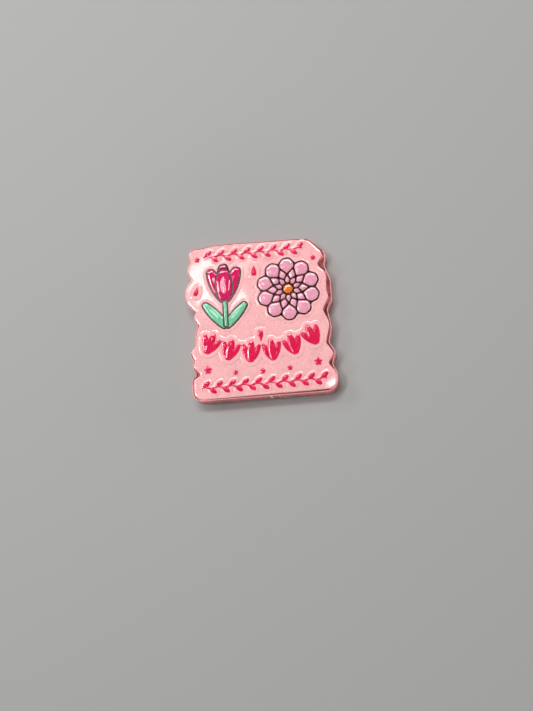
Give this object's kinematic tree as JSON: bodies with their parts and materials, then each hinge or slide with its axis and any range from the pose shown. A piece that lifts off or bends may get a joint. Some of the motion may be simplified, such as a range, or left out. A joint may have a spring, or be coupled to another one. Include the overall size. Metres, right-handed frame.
{
  "type": "printed acrylic charm",
  "caption": "Thin die-cut clear acrylic charm with a wavy edge, a tinted back sheet and an opaque printed face of raised glossy folk flowers.",
  "frame": {"origin": "under the middle of the plate, on the plane of its back", "axes": "+Z out of the printed face, +Y towards the face's top edge, +X to the right of the face"},
  "size_m": [0.0342, 0.0368, 0.0041],
  "materials": {
    "clear_plate": "clear, polished",
    "back_sheet": "smooth, tinted rose",
    "printed_face": "glossy pink print",
    "crimson_ink": "raised glossy ink",
    "orchid_ink": "raised glossy ink",
    "magenta_ink": "raised glossy ink",
    "wine_ink": "raised glossy ink",
    "mint_ink": "raised glossy ink",
    "blush_ink": "raised glossy ink",
    "amber_ink": "raised glossy ink",
    "black_ink": "raised glossy ink"
  },
  "bodies": {
    "root": {"back_sheet": "back_sheet", "acrylic_plate": "clear_plate", "printed_face": "printed_face", "blossom_outline": "black_ink", "blossom_heart_petal_1": "orchid_ink", "blossom_heart_petal_2": "orchid_ink", "blossom_heart_petal_3": "orchid_ink", "blossom_heart_petal_4": "orchid_ink", "blossom_heart_petal_5": "orchid_ink", "blossom_heart_petal_6": "orchid_ink", "blossom_heart_petal_7": "orchid_ink", "blossom_heart_petal_8": "orchid_ink", "blossom_heart_petal_9": "orchid_ink", "blossom_heart_petal_10": "orchid_ink", "blossom_middle_petal_1": "orchid_ink", "blossom_middle_petal_2": "orchid_ink", "blossom_middle_petal_3": "orchid_ink", "blossom_middle_petal_4": "orchid_ink", "blossom_middle_petal_5": "orchid_ink", "blossom_middle_petal_6": "orchid_ink", "blossom_middle_petal_7": "orchid_ink", "blossom_middle_petal_8": "orchid_ink", "blossom_middle_petal_9": "orchid_ink", "blossom_middle_petal_10": "orchid_ink", "blossom_outer_petal_1": "orchid_ink", "blossom_outer_petal_2": "orchid_ink", "blossom_outer_petal_3": "orchid_ink", "blossom_outer_petal_4": "orchid_ink", "blossom_outer_petal_5": "orchid_ink", "blossom_outer_petal_6": "orchid_ink", "blossom_outer_petal_7": "orchid_ink", "blossom_outer_petal_8": "orchid_ink", "blossom_outer_petal_9": "orchid_ink", "blossom_outer_petal_10": "orchid_ink", "blossom_button": "amber_ink", "tulip_outline": "black_ink", "tulip_front_petal": "magenta_ink", "tulip_left_petal": "magenta_ink", "tulip_right_petal": "magenta_ink", "tulip_back_petal": "wine_ink", "tulip_stem": "mint_ink", "tulip_left_leaf": "mint_ink", "tulip_right_leaf": "mint_ink", "tulip_left_vein": "blush_ink", "tulip_middle_vein": "blush_ink", "tulip_right_vein": "blush_ink", "garland_bud_1": "crimson_ink", "garland_bud_2": "crimson_ink", "garland_bud_3": "crimson_ink", "garland_bud_4": "crimson_ink", "garland_bud_5": "crimson_ink", "garland_bud_6": "crimson_ink", "top_vine": "crimson_ink", "bottom_vine": "crimson_ink"}
  },
  "joints": []
}
